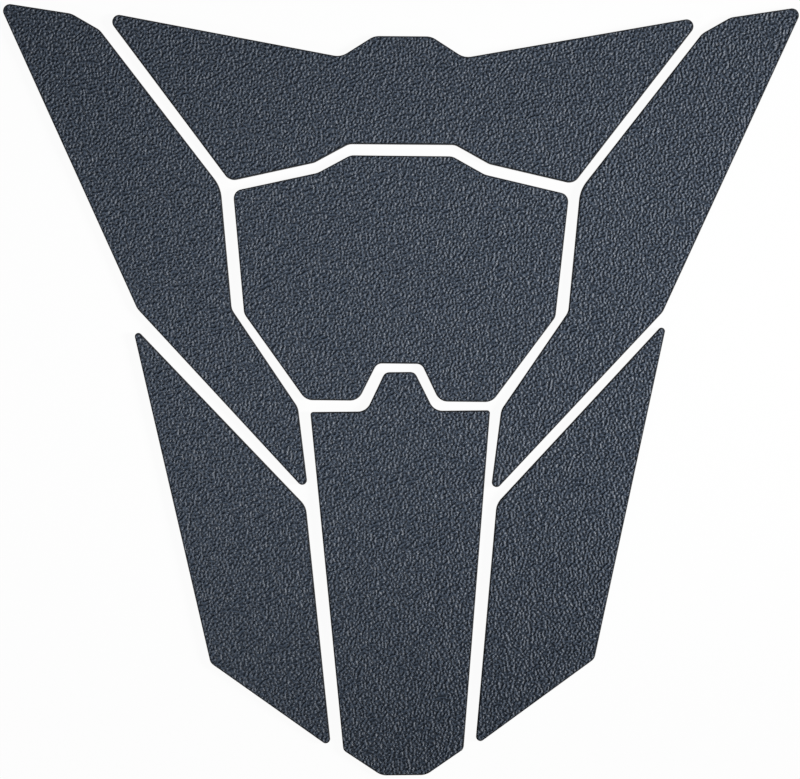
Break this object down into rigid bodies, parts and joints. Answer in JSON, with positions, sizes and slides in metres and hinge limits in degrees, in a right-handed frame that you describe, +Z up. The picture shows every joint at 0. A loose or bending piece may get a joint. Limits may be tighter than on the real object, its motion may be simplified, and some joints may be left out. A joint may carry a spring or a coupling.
{
  "type": "motorcycle tank pad",
  "caption": "Stick-on motorcycle tank pad: a shield-shaped set of separate flat die-cut pads in leather-grained elastomer, with narrow seams between them.",
  "frame": {"origin": "middle of the laid-out set, on the surface it lies on, at the pads' adhesive faces", "axes": "+X to the right across the set, +Y from the rider towards the handlebars, +Z up out of the grained face"},
  "size_m": [0.1998, 0.1936, 0.0016],
  "materials": {
    "grained_elastomer": "matt dark slate with a moulded leather grain of about 1 mm pitch"
  },
  "bodies": {
    "root": {"top_yoke": "grained_elastomer", "left_wing": "grained_elastomer", "right_wing": "grained_elastomer", "centre_panel": "grained_elastomer", "left_flank": "grained_elastomer", "right_flank": "grained_elastomer", "spine": "grained_elastomer"}
  },
  "joints": []
}
